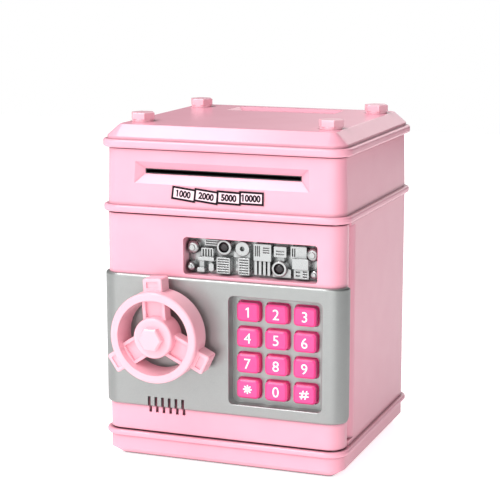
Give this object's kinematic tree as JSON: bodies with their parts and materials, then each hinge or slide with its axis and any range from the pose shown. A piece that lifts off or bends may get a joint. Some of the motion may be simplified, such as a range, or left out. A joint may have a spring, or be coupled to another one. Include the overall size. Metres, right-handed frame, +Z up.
{
  "type": "toy safe coin bank",
  "caption": "Toy electronic safe money bank with hinged keypad door, handwheel latch, note slot with feeder, coin slot and vault.",
  "frame": {"origin": "under the middle of the whole object's box, on the surface it stands on", "axes": "+Z up, door and handwheel face -Y, +X to the right of someone facing the door"},
  "size_m": [0.1294, 0.1428, 0.1744],
  "materials": {
    "pink_shell": "glossy moulded light pink ABS",
    "pink_wheel": "paler pink moulded ABS",
    "pink_keys": "translucent-looking hot pink, glossy",
    "silver_panel": "satin silver paint on ABS",
    "silver_relief": "bright silver plating on ABS",
    "lamp_dark": "dark clear lamp dome",
    "label_print": "printed label",
    "inner_white": "natural nylon or acetal",
    "steel": "zinc plated",
    "battery_jacket": "printed battery jacket; aluminium stands for a cell's average density",
    "rubber_grey": "silicone keypad mat",
    "rubber_black": "roller sleeves",
    "board_green": "fibreglass board with lacquer",
    "black_plastic": "moulded black plastic of the speaker and of the note feeder",
    "brass_pinion": "turned brass"
  },
  "bodies": {
    "casing": {"base_tray": "pink_shell", "battery_cover": "pink_shell", "battery_screw": "steel", "batteries": "battery_jacket", "battery_contacts": "steel", "vault_floor": "pink_shell", "base_screws": "steel", "body_shell": "pink_shell", "upper_casing": "pink_shell", "denomination_labels": "label_print", "top_cap": "pink_shell", "cap_bolts": "pink_wheel", "note_guide": "black_plastic", "feeder_frame": "black_plastic", "feeder_screws": "steel", "feed_motor": "steel", "coin_chute": "inner_white", "hinge_pins": "steel"},
    "door": {"door_shell": "pink_shell", "front_panel": "silver_panel", "keypad_membrane": "rubber_grey", "circuit_board": "board_green", "speaker": "black_plastic", "mechanism_relief": "silver_relief", "indicator_lamps": "lamp_dark", "door_back_cover": "pink_shell", "door_screws": "steel", "knob_bushing": "inner_white", "latch_guide": "inner_white", "latch_cover": "inner_white", "lock_solenoid": "steel"},
    "wheel": {"handwheel": "pink_wheel", "hub_bolt": "pink_wheel", "knob_spindle": "steel", "spindle_clip": "steel", "latch_pinion": "inner_white"},
    "latch": {"latch_bolt": "inner_white"},
    "plunger": {"lock_plunger": "steel"},
    "feed_roller": {"feed_shaft": "steel", "roller_sleeves": "rubber_black", "feed_gear": "inner_white"},
    "pinch": {"pinch_roller": "black_plastic"},
    "transfer": {"transfer_gear": "inner_white"},
    "pinion": {"motor_pinion": "brass_pinion"},
    "button_1": {"key_1": "pink_keys"},
    "button_2": {"key_2": "pink_keys"},
    "button_3": {"key_3": "pink_keys"},
    "button_4": {"key_4": "pink_keys"},
    "button_5": {"key_5": "pink_keys"},
    "button_6": {"key_6": "pink_keys"},
    "button_7": {"key_7": "pink_keys"},
    "button_8": {"key_8": "pink_keys"},
    "button_9": {"key_9": "pink_keys"},
    "button_star": {"key_star": "pink_keys"},
    "button_0": {"key_0": "pink_keys"},
    "button_hash": {"key_hash": "pink_keys"}
  },
  "joints": [
    {"name": "door_swing", "type": "hinge", "parent": "casing", "child": "door", "pos_m": [0.0575, -0.04485, 0.07], "axis": [0, 0, 1], "range_deg": [0, 105]},
    {"name": "knob_turn", "type": "hinge", "parent": "door", "child": "wheel", "pos_m": [-0.0285, -0.04935, 0.068], "axis": [0, 1, 0], "range_deg": [0, 60]},
    {"name": "latch_slide", "type": "slide", "parent": "door", "child": "latch", "axis": [-1, 0, 0], "range_m": [0, 0.0063]},
    {"name": "plunger_slide", "type": "slide", "parent": "door", "child": "plunger", "axis": [0, 0, 1], "range_m": [0, 0.0026]},
    {"name": "feed_spin", "type": "hinge", "parent": "casing", "child": "feed_roller", "pos_m": [0, -0.02535, 0.1411], "axis": [1, 0, 0], "continuous": true},
    {"name": "pinch_spin", "type": "hinge", "parent": "casing", "child": "pinch", "pos_m": [0, -0.02535, 0.1525], "axis": [1, 0, 0], "continuous": true},
    {"name": "transfer_spin", "type": "hinge", "parent": "casing", "child": "transfer", "pos_m": [0.05, -0.00575, 0.1411], "axis": [1, 0, 0], "continuous": true},
    {"name": "motor_spin", "type": "hinge", "parent": "casing", "child": "pinion", "pos_m": [0.05, 0.00755, 0.1411], "axis": [1, 0, 0], "continuous": true},
    {"name": "press_1", "type": "slide", "parent": "door", "child": "button_1", "axis": [0, 1, 0], "range_m": [0, 0.0012], "stiffness_N_per_m": 600},
    {"name": "press_2", "type": "slide", "parent": "door", "child": "button_2", "axis": [0, 1, 0], "range_m": [0, 0.0012], "stiffness_N_per_m": 600},
    {"name": "press_3", "type": "slide", "parent": "door", "child": "button_3", "axis": [0, 1, 0], "range_m": [0, 0.0012], "stiffness_N_per_m": 600},
    {"name": "press_4", "type": "slide", "parent": "door", "child": "button_4", "axis": [0, 1, 0], "range_m": [0, 0.0012], "stiffness_N_per_m": 600},
    {"name": "press_5", "type": "slide", "parent": "door", "child": "button_5", "axis": [0, 1, 0], "range_m": [0, 0.0012], "stiffness_N_per_m": 600},
    {"name": "press_6", "type": "slide", "parent": "door", "child": "button_6", "axis": [0, 1, 0], "range_m": [0, 0.0012], "stiffness_N_per_m": 600},
    {"name": "press_7", "type": "slide", "parent": "door", "child": "button_7", "axis": [0, 1, 0], "range_m": [0, 0.0012], "stiffness_N_per_m": 600},
    {"name": "press_8", "type": "slide", "parent": "door", "child": "button_8", "axis": [0, 1, 0], "range_m": [0, 0.0012], "stiffness_N_per_m": 600},
    {"name": "press_9", "type": "slide", "parent": "door", "child": "button_9", "axis": [0, 1, 0], "range_m": [0, 0.0012], "stiffness_N_per_m": 600},
    {"name": "press_star", "type": "slide", "parent": "door", "child": "button_star", "axis": [0, 1, 0], "range_m": [0, 0.0012], "stiffness_N_per_m": 600},
    {"name": "press_0", "type": "slide", "parent": "door", "child": "button_0", "axis": [0, 1, 0], "range_m": [0, 0.0012], "stiffness_N_per_m": 600},
    {"name": "press_hash", "type": "slide", "parent": "door", "child": "button_hash", "axis": [0, 1, 0], "range_m": [0, 0.0012], "stiffness_N_per_m": 600}
  ],
  "couplings": [
    {"joint": "latch_slide", "follows": "knob_turn", "m_per_rad": 0.006},
    {"joint": "pinch_spin", "follows": "feed_spin", "ratio": -1.2},
    {"joint": "transfer_spin", "follows": "feed_spin", "ratio": -1},
    {"joint": "motor_spin", "follows": "feed_spin", "ratio": 2.8}
  ]
}
